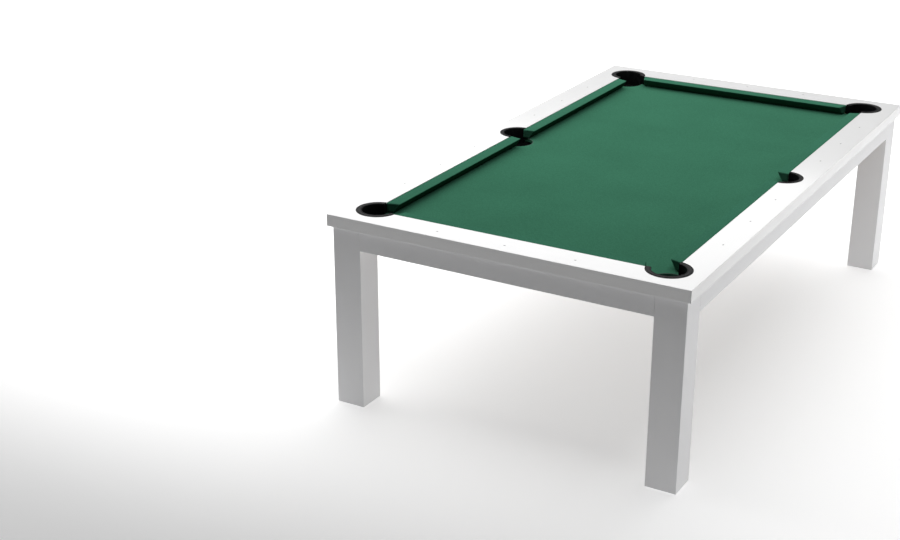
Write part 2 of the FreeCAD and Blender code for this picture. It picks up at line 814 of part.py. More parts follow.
def ball_tub(name, x, y, turn):
    """Cup under a pocket that holds the potted balls; its floor falls inwards."""
    depth = size.apron_drop
    bottom = slate_underside - depth
    outer_radius = size.tub_radius + size.tub_wall
    parts = []
    for kind, radius, raise_by, top in (
            ("Outer", outer_radius, ZERO, slate_underside),
            ("Inner", size.tub_radius, size.tub_floor, slate_underside + TRIM)):
        prism = stadium("Tub" + kind, radius, bottom, depth + TRIM)
        block = sloped_block("TubSlope" + kind, raise_by, top)
        common = doc.addObject("Part::MultiCommon", "TubSolid" + kind)
        common.Shapes = [prism, block]
        parts.append(common)
    ears = []
    half = size.ear_width / 2
    under = slate_underside - size.ear_thickness
    reach = outer_radius + size.ear_length
    bars = ((-half, -reach, size.ear_width, reach * 2),
            (size.tub_reach, -half, reach, size.ear_width))
    for low_x, low_y, length, width in bars:
        bar = doc.addObject("Part::Box", "TubEars")
        for prop, value in (("Length", length), ("Width", width), ("Height", size.ear_thickness)):
            setattr(bar, prop, value_of(value))
            bind(bar, prop, value)
        ears.append(place(bar, low_x, low_y, under, 0))
    outside = doc.addObject("Part::MultiFuse", "TubOutside")
    outside.Shapes = [parts[0]] + ears
    holes = []
    for ear_x, ear_y in ear_centres():
        hole = cylinder("TubHole", size.screw_radius, size.ear_thickness)
        holes.append(place(hole, ear_x, ear_y, under, 0))
    waste = doc.addObject("Part::MultiFuse", "TubWaste")
    waste.Shapes = [parts[1]] + holes
    tub = doc.addObject("Part::Cut", "Tub")
    tub.Base = outside
    tub.Tool = waste
    return node(place(tub, x, y, 0, turn), "ball_tub_" + name)


slate()
bed_cloth()
cross_beams()
collars()
for tub_place in tub_places():
    ball_tub(*tub_place)


# ---------------------------------------------------------------- legs and feet

def corner_place(thing, x_side, y_side, turn):
    """Puts a corner-frame piece at its corner of the table: both axes point inwards."""
    return place(thing, half_length * x_side, half_width * y_side, 0, turn)


def leg(name, x_side, y_side, turn):
    """Hollow leg of four boards; the outer two run on up to the rail cap."""
    low = size.apron_setback
    inner_low = low + size.leg_wall
    inner_high = leg_inside - size.leg_wall
    post = slab("Leg", box_outline(low, low, leg_inside, leg_inside),
                size.foot_gap, cap_underside - size.foot_gap)
    hollow = new_sketch(post, "XY_Plane", cap_underside)
    draw_polygon(hollow, box_outline(inner_low, inner_low, inner_high, inner_high))
    pocket(post, hollow, cap_underside - size.foot_gap)
    notch = new_sketch(post, "XY_Plane", cap_underside)
    past = leg_inside + TRIM
    draw_polygon(notch, box_outline(inner_low, inner_low, past, past))
    pocket(post, notch, cabinet_height)
    along = sill_inside + size.bracket_bolt_along
    for role, offset in (("XZ_Plane", size.bracket_bolt_depth - inner_low), ("YZ_Plane", inner_low)):
        bore = new_sketch(post, role, offset)
        draw_circle(bore, along, flange_bolt_height(), size.bolt_radius)
        pocket(post, bore, size.bracket_bolt_depth)
    outer = value_of(low)
    far = value_of(leg_inside)
    top = value_of(cap_underside)

    def on_corner(point):
        return any(near(point.x, x) and near(point.y, y)
                   for x, y in ((outer, outer), (outer, far), (far, outer)))

    def outer_arris(start, end):
        return on_corner(start) and on_corner(end) and not (near(start.z, top) and near(end.z, top))

    round_edges(post, size.edge_round, outer_arris)
    return node(corner_place(post, x_side, y_side, turn), "leg_" + name)


def foot_place(thing, x_side, y_side):
    """Puts a turned piece on the axis of a leg."""
    return place(thing, (half_length - leg_centre) * x_side, (half_width - leg_centre) * y_side, 0, 0)


def recess_top():
    return size.foot_gap + size.recess_depth


def leg_end_blocks():
    """A block at the foot and one at the top of each leg."""
    blocks = []
    low = size.apron_setback + size.leg_wall
    high = leg_inside - size.leg_wall
    outline = box_outline(low, low, high, high)
    bolt = sill_inside + size.leg_bolt_along
    for _, x_side, y_side, turn in CORNERS:
        foot = slab("FootBlock", outline, size.foot_gap, size.foot_block_height)
        top = size.foot_gap + size.foot_block_height
        drill(foot, top, size.foot_block_height, [(leg_centre, leg_centre, size.insert_radius)])
        drill(foot, recess_top(), size.recess_depth, [(leg_centre, leg_centre, size.recess_radius)])
        blocks.append(corner_place(foot, x_side, y_side, turn))
        head = slab("TopBlock", outline, frame_bottom - size.top_block_height, size.top_block_height)
        drill(head, frame_bottom, size.leg_bolt_depth, [(bolt, bolt, size.bolt_radius)])
        blocks.append(corner_place(head, x_side, y_side, turn))
    return group("leg_end_blocks", blocks)


def threaded_inserts():
    bore = size.stud_radius + size.stud_clearance
    low = recess_top()
    high = low + size.insert_length
    profile = ((bore, low), (size.insert_radius, low), (size.insert_radius, high), (bore, high))
    inserts = []
    for _, x_side, y_side, _ in CORNERS:
        inserts.append(foot_place(lathe("Insert", profile), x_side, y_side))
    return group("threaded_inserts", inserts)


def foot_pad(name, x_side, y_side):
    """Rubber-soled disc with a socket for the stud."""
    chamfer = size.pad_chamfer
    radius = size.pad_radius
    socket = size.stud_radius + size.stud_clearance
    floor = size.pad_thickness - size.socket_depth
    profile = ((ZERO, ZERO), (radius - chamfer, ZERO), (radius, chamfer),
               (radius, size.pad_thickness - chamfer), (radius - chamfer, size.pad_thickness),
               (socket, size.pad_thickness), (socket, floor), (ZERO, floor))
    return node(foot_place(lathe("FootPad", profile), x_side, y_side), "foot_pad_" + name)


def foot_stud(name, x_side, y_side):
    """Threaded stud with a hexagon, turned to level the table."""
    low = size.pad_thickness - size.socket_depth + size.stud_lift
    rod = cylinder("StudRod", size.stud_radius, size.stud_length)
    place(rod, 0, 0, low, 0)
    nut = doc.addObject("Part::Prism", "StudHexagon")
    nut.Polygon = 6
    nut.Circumradius = value_of(size.hex_radius)
    nut.Height = value_of(size.hex_height)
    bind(nut, "Circumradius", size.hex_radius)
    bind(nut, "Height", size.hex_height)
    place(nut, 0, 0, size.pad_thickness + size.stud_lift, 0)
    stud = doc.addObject("Part::Fuse", "Stud")
    stud.Base = rod
    stud.Tool = nut
    return node(foot_place(stud, x_side, y_side), "foot_stud_" + name)


def corner_brackets():
    """Steel brackets in the frame's corners: two flanges and a bolted foot plate."""
    low = sill_inside
    thick = size.bracket_thickness
    inner = low + thick
    far = leg_inside - size.leg_wall + size.bracket_lap
    bolt = low + size.leg_bolt_along
    along = low + size.bracket_bolt_along
    brackets = []
    for _, x_side, y_side, turn in CORNERS:
        plate = slab("Bracket", ((low, low), (far, low), (low, far)), frame_bottom, thick)
        flanges = new_sketch(plate, "XY_Plane", frame_bottom)
        draw_polygon(flanges, ((low, low), (far, low), (far - thick, inner), (inner, inner),
                               (inner, far - thick), (low, far)))
        pad(plate, flanges, size.bracket_height)
        drill(plate, frame_bottom + thick, thick, [(bolt, bolt, size.bolt_hole_radius)])
        for role, offset in (("XZ_Plane", -low), ("YZ_Plane", inner)):
            bore = new_sketch(plate, role, offset)
            draw_circle(bore, along, flange_bolt_height(), size.bolt_hole_radius)
            pocket(plate, bore, thick)
        brackets.append(corner_place(plate, x_side, y_side, turn))
    return group("corner_brackets", brackets)


for corner in CORNERS:
    leg(*corner)
leg_end_blocks()
threaded_inserts()
for corner_name, corner_x, corner_y, _ in CORNERS:
    foot_pad(corner_name, corner_x, corner_y)
    foot_stud(corner_name, corner_x, corner_y)
corner_brackets()


# ---------------------------------------------------------------- fasteners and sights

def bolt_shape(name, shank_length):
    """Hexagon-headed bolt along +Z: the head is under the origin."""
    shank = cylinder(name + "Shank", size.bolt_radius, shank_length)
    head = doc.addObject("Part::Prism", name + "Head")
    head.Polygon = 6
    head.Circumradius = value_of(size.bolt_head_radius)
    head.Height = value_of(size.bolt_head_height)
    bind(head, "Circumradius", size.bolt_head_radius)
    bind(head, "Height", size.bolt_head_height)
    place(head, 0, 0, -size.bolt_head_height, 0)
    bolt = doc.addObject("Part::Fuse", name)
    bolt.Base = shank
    bolt.Tool = head
    return bolt


def copy_at(master, x, y, z, turn=None):
    """A linked copy of a fastener at a place on the table."""
    link = doc.addObject("App::Link", "Copy")
    link.LinkedObject = master
    base = FreeCAD.Vector(value_of(x), value_of(y), value_of(z))
    link.LinkPlacement = FreeCAD.Placement(base, turn or FreeCAD.Rotation())
    bind(link, "LinkPlacement.Base.x", x)
    bind(link, "LinkPlacement.Base.y", y)
    bind(link, "LinkPlacement.Base.z", z)
    return link


def rail_fasteners():
    """Bolts and washers that hold the sub-rails on the slate, from below."""
    grip = size.washer_thickness + size.slate_thickness + size.bed_cloth_thickness
    master = bolt_shape("RailBolt", grip + size.rail_bolt_depth)
    ring = cylinder("WasherDisc", size.washer_radius, size.washer_thickness)
    hole = cylinder("WasherHole", size.bolt_hole_radius, size.washer_thickness)
    washer = doc.addObject("Part::Cut", "Washer")
    washer.Base = ring
    washer.Tool = hole
    under = slate_underside - size.washer_thickness
    places = all_rail_bolts()
    group("rail_bolts", [copy_at(master, x, y, under) for x, y in places])
    group("rail_washers", [copy_at(washer, x, y, under) for x, y in places])


def leg_bolts():
    """Three bolts a corner: down into the leg's top block and out through both flanges."""
    through = size.bracket_thickness + size.leg_bolt_depth
    upright = bolt_shape("LegBolt", through)
    level = bolt_shape("FlangeBolt", size.bracket_thickness + size.sill_thickness
                       + size.bracket_bolt_depth)
    down = FreeCAD.Rotation(FreeCAD.Vector(1, 0, 0), 180)
    copies = []
    inner = sill_inside + size.bracket_thickness
    for _, x_side, y_side, _ in CORNERS:
        bolt_x = (half_length - sill_inside - size.leg_bolt_along) * x_side
        bolt_y = (half_width - sill_inside - size.leg_bolt_along) * y_side
        copies.append(copy_at(upright, bolt_x, bolt_y, frame_bottom + size.bracket_thickness, down))
        along_x = (half_length - sill_inside - size.bracket_bolt_along) * x_side
        across_y = (half_width - inner) * y_side
        out_y = FreeCAD.Rotation(FreeCAD.Vector(0, 0, 1), FreeCAD.Vector(0, y_side, 0))
        copies.append(copy_at(level, along_x, across_y, flange_bolt_height(), out_y))
        along_y = (half_width - sill_inside - size.bracket_bolt_along) * y_side
        across_x = (half_length - inner) * x_side
        out_x = FreeCAD.Rotation(FreeCAD.Vector(0, 0, 1), FreeCAD.Vector(x_side, 0, 0))
        copies.append(copy_at(level, across_x, along_y, flange_bolt_height(), out_x))
    return group("leg_bolts", copies)


def tub_screws():
    """Round-headed screws that hang the tubs under the slate."""
    shank = cylinder("ScrewShank", size.screw_radius, size.ear_thickness + size.screw_depth)
    head = cylinder("ScrewHead", size.screw_head_radius, size.screw_head_height)
    place(head, 0, 0, -size.screw_head_height, 0)
    screw = doc.addObject("Part::Fuse", "TubScrew")
    screw.Base = shank
    screw.Tool = head
    under = slate_underside - size.ear_thickness
    return group("tub_screws", [copy_at(screw, x, y, under) for x, y in all_tub_screws()])


def rail_sights():
    """Diamond inlays flush in the rail caps."""
    inlays = []
    for side, _, reach, turn in RAILS:
        for x, y in sight_places(side, reach):
            inlay = slab("Sight", diamond(as_size(x), y), rail_top - size.sight_depth,
                         size.sight_depth)
            inlays.append(place(inlay, 0, 0, 0, turn))
    return group("rail_sights", inlays)


rail_fasteners()
leg_bolts()
tub_screws()
rail_sights()


# ---------------------------------------------------------------- checks and export

doc.recompute()
for thing in doc.Objects:
    if "Invalid" in thing.State or "Error" in thing.State:
        raise RuntimeError("%s did not recompute" % thing.Name)
for piece in nodes:
    if piece.Shape.isNull() or not piece.Shape.isValid():
        raise RuntimeError("%s has no valid shape" % piece.Label)

os.makedirs("parts", exist_ok=True)
for piece in nodes:
    piece.Shape.exportStep("parts/%s.step" % piece.Label)
print("%d nodes, %d solids" % (len(nodes), sum(len(piece.Shape.Solids) for piece in nodes)))
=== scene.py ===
"""Looks of the seven-foot pool table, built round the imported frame.  Metres."""
import json
import math

import bmesh
import bpy
from mathutils import Matrix, Vector
from mathutils.geometry import delaunay_2d_cdt

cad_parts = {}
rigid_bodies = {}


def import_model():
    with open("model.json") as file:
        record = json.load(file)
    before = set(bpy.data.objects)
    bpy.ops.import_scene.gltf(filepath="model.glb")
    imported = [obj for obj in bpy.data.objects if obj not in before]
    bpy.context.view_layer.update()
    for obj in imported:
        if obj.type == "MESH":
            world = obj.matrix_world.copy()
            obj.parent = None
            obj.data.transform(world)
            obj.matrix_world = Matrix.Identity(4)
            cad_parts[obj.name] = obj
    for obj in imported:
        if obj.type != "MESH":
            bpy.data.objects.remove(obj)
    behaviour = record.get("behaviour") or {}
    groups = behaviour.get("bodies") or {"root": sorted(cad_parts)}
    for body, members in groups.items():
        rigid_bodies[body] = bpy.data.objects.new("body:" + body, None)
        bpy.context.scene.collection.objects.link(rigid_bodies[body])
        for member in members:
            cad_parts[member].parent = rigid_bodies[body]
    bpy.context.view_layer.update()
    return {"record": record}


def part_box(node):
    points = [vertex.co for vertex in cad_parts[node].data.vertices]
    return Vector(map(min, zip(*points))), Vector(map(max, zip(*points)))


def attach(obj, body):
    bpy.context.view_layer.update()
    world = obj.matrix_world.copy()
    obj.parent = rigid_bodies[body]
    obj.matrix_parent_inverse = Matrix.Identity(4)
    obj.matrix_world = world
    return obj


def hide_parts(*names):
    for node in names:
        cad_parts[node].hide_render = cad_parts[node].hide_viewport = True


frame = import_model()


# ---------------------------------------------------------------- sizes read from the frame

def low(node):
    """Lowest corner of a CAD node's box."""
    return Vector(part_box(node)[0])


def high(node):
    """Highest corner of a CAD node's box."""
    return Vector(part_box(node)[1])


CORNERS = (("head_right", -1, -1), ("foot_right", 1, -1),      # name, signs of X and Y
           ("foot_left", 1, 1), ("head_left", -1, 1))
SIDES = (("right", -1), ("left", 1))                            # name, sign of Y

RAIL_TOP = high("rail_cap_left").z
CAP_EDGE_Y = low("rail_cap_left").y
CAP_EDGE_X = low("rail_cap_foot").x
BED_TOP = high("bed_cloth").z
SLATE_UNDER = low("slate_bed").z
SEAT = RAIL_TOP - 0.004   # the caps are let in this far under the collars' flanges


# ---------------------------------------------------------------- shader helpers

class Shader:
    """A material and its node tree.  Colours, factors and vectors are passed as sockets."""

    def __init__(self, name):
        self.material = bpy.data.materials.new(name)
        self.material.use_nodes = True
        self.tree = self.material.node_tree
        self.tree.nodes.clear()
        self.out = self.add("ShaderNodeOutputMaterial")
        self.bsdf = self.add("ShaderNodeBsdfPrincipled")
        self.link(self.bsdf.outputs[0], self.out.inputs[0])
        self.coords = self.add("ShaderNodeTexCoord").outputs["Object"]

    def add(self, kind, **values):
        node = self.tree.nodes.new(kind)
        for key, value in values.items():
            setattr(node, key, value)
        return node

    def link(self, source, target):
        self.tree.links.new(source, target)

    def set(self, **values):
        for key, value in values.items():
            self.bsdf.inputs[key.replace("_", " ")].default_value = value

    def scaled(self, scale, rotation=(0, 0, 0)):
        mapping = self.add("ShaderNodeMapping")
        mapping.inputs["Scale"].default_value = scale
        mapping.inputs["Rotation"].default_value = rotation
        self.link(self.coords, mapping.inputs["Vector"])
        return mapping.outputs[0]

    def noise(self, scale, detail=3.0, roughness=0.5, vector=None):
        node = self.add("ShaderNodeTexNoise")
        node.inputs["Scale"].default_value = scale
        node.inputs["Detail"].default_value = detail
        node.inputs["Roughness"].default_value = roughness
        self.link(vector or self.coords, node.inputs["Vector"])
        return node.outputs["Fac"]

    def wave(self, scale, vector=None, direction="X", distortion=0.0, detail=2.0):
        node = self.add("ShaderNodeTexWave", bands_direction=direction)
        node.inputs["Scale"].default_value = scale
        node.inputs["Distortion"].default_value = distortion
        node.inputs["Detail"].default_value = detail
        self.link(vector or self.coords, node.inputs["Vector"])
        return node.outputs["Fac"]

    def ramp(self, factor, stops):
        """Two stops of (position, colour)."""
        node = self.add("ShaderNodeValToRGB")
        for element, (position, colour) in zip(node.color_ramp.elements, stops):
            element.position = position
            element.color = (*colour, 1.0)
        self.link(factor, node.inputs["Fac"])
        return node.outputs["Color"]

    def spread(self, factor, lowest, highest):
        node = self.add("ShaderNodeMapRange")
        node.inputs["To Min"].default_value = lowest
        node.inputs["To Max"].default_value = highest
        self.link(factor, node.inputs["Value"])
        return node.outputs["Result"]

    def math(self, operation, first, second):
        node = self.add("ShaderNodeMath", operation=operation)
        for socket, value in zip(node.inputs, (first, second)):
            if isinstance(value, (int, float)):
                socket.default_value = value
            else:
                self.link(value, socket)
        return node.outputs[0]

    def painted_shade_below(self, colour, share):
        """The colour with painted shade: darker on faces that look down."""
        normal = self.add("ShaderNodeNewGeometry").outputs["Normal"]
        parts = self.add("ShaderNodeSeparateXYZ")
        self.link(normal, parts.inputs[0])
        # painted shade factor: full colour on faces that look up, falling to the share on faces that
        # look down
        painted_shade_factor = self.add("ShaderNodeMapRange")
        painted_shade_factor.inputs["From Min"].default_value = -0.45
        painted_shade_factor.inputs["From Max"].default_value = 0.15
        painted_shade_factor.inputs["To Min"].default_value = share
        painted_shade_factor.inputs["To Max"].default_value = 1.0
        self.link(parts.outputs["Z"], painted_shade_factor.inputs["Value"])
        scale = self.add("ShaderNodeVectorMath", operation="SCALE")
        self.link(colour, scale.inputs[0])
        self.link(painted_shade_factor.outputs["Result"], scale.inputs["Scale"])
        return scale.outputs[0]

    def bump(self, height, distance, strength):
        """Distance in metres."""
        node = self.add("ShaderNodeBump")
        node.inputs["Distance"].default_value = distance
        node.inputs["Strength"].default_value = strength
        self.link(height, node.inputs["Height"])
        self.link(node.outputs[0], self.bsdf.inputs["Normal"])

    def colour(self, output):
        self.link(output, self.bsdf.inputs["Base Color"])

    def roughness(self, output):
        self.link(output, self.bsdf.inputs["Roughness"])


# ---------------------------------------------------------------- materials

def lacquer(name, tint, rough, coat):
    """White sprayed lacquer: orange peel, and a faint unevenness of gloss."""
    s = Shader(name)
    darker = tuple(channel * 0.975 for channel in tint)
    s.colour(s.ramp(s.noise(2.2, 4.0), ((0.3, darker), (0.7, tint))))
    s.roughness(s.spread(s.noise(14.0, 5.0), rough * 0.8, rough * 1.25))
    s.bump(s.noise(420.0, 1.0), 0.00004, 0.35)
    s.set(Coat_Weight=coat, Coat_Roughness=0.08, IOR=1.5)
    return s.material


def worsted(name, tint):
    """Worsted billiard cloth: fine twill and a short, dull nap, with painted shade on faces that look
    down.
    """
    s = Shader(name)
    warp = s.wave(820.0, s.scaled((1, 1, 1), (0, 0, math.radians(45))))
    weft = s.wave(820.0, s.scaled((1, 1, 1), (0, 0, math.radians(-45))), direction="Y")
    fibre = s.noise(1500.0, 2.0)
    weave = s.math("ADD", s.math("MULTIPLY", warp, weft), s.math("MULTIPLY", fibre, 0.6))
    fleck = s.math("ADD", s.math("MULTIPLY", s.noise(240.0, 3.0), 0.7),
                   s.math("MULTIPLY", s.noise(3.0, 2.0), 0.3))
    deep = tuple(channel * 0.88 for channel in tint)
    bright = tuple(channel * 1.12 for channel in tint)
    nap = s.ramp(fleck, ((0.36, deep), (0.64, bright)))
    # painted shade: the cloth is darkened on faces that look down, such as the undercuts below the
    # cushions' noses
    s.colour(s.painted_shade_below(nap, 0.45))
    s.roughness(s.spread(fibre, 0.9, 1.0))
    s.bump(weave, 0.00018, 0.5)
    s.set(Specular_IOR_Level=0.0)
    return s.material


def moulded(name, tint, rough, grain, shine):
    """Moulded plastic or rubber with a fine spark-eroded grain."""
    s = Shader(name)
    lighter = tuple(channel * 1.5 + 0.004 for channel in tint)
    s.colour(s.ramp(s.noise(60.0, 4.0), ((0.35, tint), (0.75, lighter))))
    s.roughness(s.spread(s.noise(90.0, 4.0), rough * 0.82, rough * 1.15))
    s.bump(s.noise(900.0, 2.0), grain, 0.5)
    s.set(Specular_IOR_Level=shine)
    return s.material


def timber(name, painted_shade_factor, dark, turn):
    """Planed softwood; the grain runs along X, turned about Z."""
    s = Shader(name)
    along = s.scaled((0.35, 7.0, 7.0), (0, 0, turn))
    rings = s.wave(5.0, along, direction="DIAGONAL", distortion=7.0, detail=4.0)
    fibre = s.noise(60.0, 5.0, vector=s.scaled((0.3, 9.0, 9.0), (0, 0, turn)))
    tone = s.math("ADD", s.math("MULTIPLY", rings, 0.7), s.math("MULTIPLY", fibre, 0.3))
    s.colour(s.ramp(tone, ((0.2, painted_shade_factor), (0.85, dark))))
    s.roughness(s.spread(fibre, 0.5, 0.75))
    s.bump(fibre, 0.0002, 0.4)
    return s.material


def stone(name):
    """Honed slate: grey with darker cloudy layers."""
    s = Shader(name)
    cloud = s.noise(5.0, 8.0, 0.62, s.scaled((0.5, 1.2, 3.0)))
    s.colour(s.ramp(cloud, ((0.3, (0.075, 0.083, 0.092)), (0.72, (0.165, 0.175, 0.185)))))
    s.roughness(s.spread(s.noise(50.0, 5.0), 0.55, 0.8))
    s.bump(s.noise(140.0, 6.0), 0.0004, 0.35)
    return s.material


def metal(name, tint, rough, streak):
    """Plated or turned metal with fine streaks."""
    s = Shader(name)
    scratch = s.noise(180.0, 4.0, vector=s.scaled(streak))
    darker = tuple(channel * 0.8 for channel in tint)
    s.colour(s.ramp(scratch, ((0.3, darker), (0.7, tint))))
    s.roughness(s.spread(scratch, rough * 0.75, rough * 1.3))
    s.bump(scratch, 0.00003, 0.4)
    s.set(Metallic=1.0)
    return s.material


def powder_coat(name, tint):
    """Powder-coated steel with a fine, even pebble."""
    s = Shader(name)
    lighter = tuple(channel * 1.6 for channel in tint)
    s.colour(s.ramp(s.noise(30.0, 3.0), ((0.3, tint), (0.8, lighter))))
    s.roughness(s.spread(s.noise(300.0, 2.0), 0.42, 0.6))
    s.bump(s.noise(700.0, 2.0), 0.00008, 0.5)
    return s.material


PINE = ((0.62, 0.43, 0.24), (0.42, 0.25, 0.12))    # early and late wood
MATERIALS = {
    "rail_lacquer": lacquer("rail_lacquer", (0.86, 0.86, 0.86), 0.22, 0.5),
    "cabinet_lacquer": lacquer("cabinet_lacquer", (0.80, 0.80, 0.81), 0.34, 0.25),
    "bed_cloth": worsted("bed_cloth", (0.0395, 0.146, 0.089)),
    "cushion_cloth": worsted("cushion_cloth", (0.0395, 0.146, 0.091)),
    "collar_plastic": moulded("collar_plastic", (0.005, 0.005, 0.0055), 0.38, 0.00003, 0.05),
    "tub_plastic": moulded("tub_plastic", (0.010, 0.010, 0.011), 0.5, 0.00008, 0.3),
    "cushion_rubber": moulded("cushion_rubber", (0.05, 0.046, 0.042), 0.75, 0.0001, 0.3),
    "foot_pad_rubber": moulded("foot_pad_rubber", (0.02, 0.02, 0.02), 0.7, 0.0001, 0.4),
    "timber": timber("timber", *PINE, 0.0),
    "slate": stone("slate"),
    "stud_steel": metal("stud_steel", (0.66, 0.66, 0.68), 0.28, (1, 1, 12)),
    "insert_brass": metal("insert_brass", (0.78, 0.58, 0.26), 0.3, (1, 1, 12)),
    "fastener_steel": metal("fastener_steel", (0.60, 0.60, 0.63), 0.32, (8, 1, 1)),
    "bracket_steel": powder_coat("bracket_steel", (0.03, 0.03, 0.032)),
    "sight_inlay": lacquer("sight_inlay", (0.10, 0.10, 0.10), 0.3, 0.2),
}

# the wooden pieces whose grain runs along Y
TIMBER_ACROSS = timber("timber_across", *PINE, math.pi / 2)
ACROSS = ("sub_rail_head", "sub_rail_foot", "frame_sill_head", "frame_sill_foot", "frame_cross_beams")

for entry in frame["record"]["subparts"]:
    carried = bpy.data.objects[entry["node"]]
    carried.data.materials.clear()
    finish = TIMBER_ACROSS if entry["node"] in ACROSS else MATERIALS[entry["material_slot"]]
    carried.data.materials.append(finish)


# ---------------------------------------------------------------- mesh helpers

def piece(name, vertices, faces, slot, body="root", sharp=35.0):
    """A smooth mesh piece that rides on a body; edges over the sharp angle stay sharp."""
    mesh = bpy.data.meshes.new(name)
    mesh.from_pydata([tuple(vertex) for vertex in vertices], [], faces)
    mesh.validate()
    mesh.update()
    mesh.shade_smooth()
    mesh.set_sharp_from_angle(angle=math.radians(sharp))
    mesh.materials.append(MATERIALS[slot])
    thing = bpy.data.objects.new(name, mesh)
    bpy.context.scene.collection.objects.link(thing)
    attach(thing, body)
    return thing


def strip_faces(rings, width, closed):
    """Quads between rings of width points each."""
    faces = []
    last = width if closed else width - 1
    for ring in range(rings - 1):
        for index in range(last):
            following = (index + 1) % width
            a = ring * width + index
            b = ring * width + following
            faces.append((a, b, b + width, a + width))
    return faces


def outward(thing):
    """Turns every face of a closed piece to the outside."""
    shape = bmesh.new()
    shape.from_mesh(thing.data)
    bmesh.ops.recalc_face_normals(shape, faces=shape.faces)
    shape.to_mesh(thing.data)
    shape.free()


def thicken(thing, thickness):
    """Gives a skin its cloth thickness, inwards."""
    solid = thing.modifiers.new("cloth", "SOLIDIFY")
    solid.thickness = thickness
    solid.offset = -1.0
    solid.use_rim = True


# ---------------------------------------------------------------- cushions

TURNS = {"right": 0.0, "foot": math.pi / 2, "left": math.pi, "head": 1.5 * math.pi}
CORNER_TAPER = 0.016      # how much shorter a nose is than the cushion's back, corner pocket
SIDE_TAPER = 0.009        # the same at a side pocket
TAPER_REACH = 0.25        # the taper fades out this far from the cushion's end
NOSE_RADIUS = 0.0020
NOSE_FALL = 0.0009        # how far the nose's top lies under the back's
CROWN = 0.0003            # rise of the top between the back and the nose
FOOT_WIDTH = 0.025        # flat underside, from the back to the heel
FOOT_RADIUS = 0.003       # rounding of the heel
END_RADIUS = 0.0035       # rounding of the cushion's ends
STATION_PITCH = 0.06      # spacing of the sections along a cushion
CLOTH = 0.0009            # thickness of the cloth


def cushion_section(width, back_top, nose_top, foot):
    """Section round the cushion as (across, up, normal across, normal up)."""
    centre = Vector((width - NOSE_RADIUS, nose_top - NOSE_RADIUS))
    heel = Vector((FOOT_WIDTH, foot + FOOT_RADIUS))
    span = centre - heel
    slope = math.atan2(span.y, span.x) - math.asin((NOSE_RADIUS - FOOT_RADIUS) / span.length)
    points = []
    top_steps, nose_steps, under_steps, heel_steps = 6, 8, 6, 4
    for step in range(top_steps + 1):
        share = step / top_steps
        across = share * centre.x
        crown = CROWN * math.sin(math.pi * share)
        points.append((across, back_top + (nose_top - back_top) * share + crown, 0.0, 1.0))
    first = math.pi / 2
    last = slope - math.pi / 2
    for step in range(1, nose_steps + 1):
        angle = first + (last - first) * step / nose_steps
        points.append((centre.x + NOSE_RADIUS * math.cos(angle),
                       centre.y + NOSE_RADIUS * math.sin(angle), math.cos(angle), math.sin(angle)))
    for step in range(1, under_steps):
        share = step / under_steps
        radius = NOSE_RADIUS + (FOOT_RADIUS - NOSE_RADIUS) * share
        middle = centre + (heel - centre) * share
        points.append((middle.x + radius * math.cos(last), middle.y + radius * math.sin(last),
                       math.cos(last), math.sin(last)))
    for step in range(heel_steps + 1):
        angle = last + (-math.pi / 2 - last) * step / heel_steps
        points.append((heel.x + FOOT_RADIUS * math.cos(angle),
                       heel.y + FOOT_RADIUS * math.sin(angle), math.cos(angle), math.sin(angle)))
    points.append((0.0, foot, 0.0, -1.0))
    return points


def cushion_stations(half):
    """(place along, inset of the section) from the low end to the high end."""
    steps = 5
    low_end = []
    for step in range(steps + 1):
        angle = math.pi / 2 * step / steps
        low_end.append((-half + END_RADIUS * (1 - math.sin(angle)),
                        END_RADIUS * (1 - math.cos(angle))))
    low_end.reverse()
    high_end = [(-place, inset) for place, inset in reversed(low_end)]
    count = max(2, round(half * 2 / STATION_PITCH))
    reach = half - END_RADIUS
    middle = [(-reach + 2 * reach * step / count, 0.0) for step in range(1, count)]
    return low_end + middle + high_end


def cushion(side, part):
    """Cloth pulled over one cushion, wrapped round both of its ends."""
    node = "cushion_cloth_" + side + part
    lowest, highest = low(node), high(node)
    turn = Matrix.Rotation(TURNS[side], 4, "Z")
    back_turn = turn.inverted()
    ends = [back_turn @ Vector((corner.x, corner.y, 0)) for corner in (lowest, highest)]
    along = sorted(end.x for end in ends)
    back, nose = sorted(end.y for end in ends)
    middle = (along[0] + along[1]) / 2
    half = (along[1] - along[0]) / 2
    long_rail = side in ("right", "left")
    low_taper = SIDE_TAPER if long_rail and middle > 0 else CORNER_TAPER
    high_taper = SIDE_TAPER if long_rail and middle < 0 else CORNER_TAPER
    width = nose - back
    section = cushion_section(width, highest.z, highest.z - NOSE_FALL, lowest.z)
    vertices = []
    stations = cushion_stations(half)
    for place, inset in stations:
        taper = low_taper if place < 0 else -high_taper
        nearness = max(0.0, 1 - (half - abs(place)) / TAPER_REACH)
        if abs(place) > half - END_RADIUS:
            nearness = 1.0
        for across, up, out_across, out_up in section:
            shift = taper * across / width * nearness
            vertices.append(turn @ Vector((middle + place + shift, back + across - out_across * inset,
                                           up - out_up * inset)))
    faces = strip_faces(len(stations), len(section), False)
    count = len(section)
    final = (len(stations) - 1) * count
    faces.append(tuple(range(count)))
    faces.append(tuple(range(final + count - 1, final - 1, -1)))
    faces = [tuple(reversed(face)) for face in faces]
    cloth = piece(node.replace("cloth", "cover"), vertices, faces, "cushion_cloth", sharp=60.0)
    thicken(cloth, CLOTH)
    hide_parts(node)


for side_name in ("right", "left"):
    for part_name in ("_head", "_foot"):
        cushion(side_name, part_name)
for side_name in ("head", "foot"):
    cushion(side_name, "")


# ---------------------------------------------------------------- pockets

CORNER_RADIUS = 0.0800    # outer edge of a corner collar
BORE = 0.0590             # inside radius of the liners
WALL = 0.0030             # thickness of the liners and cheeks
HOLE_RADIUS = 0.0632      # cloth-lined hole in the bed
ROLL_RADIUS = 0.0045      # the slate's bevel under the cloth at a pocket


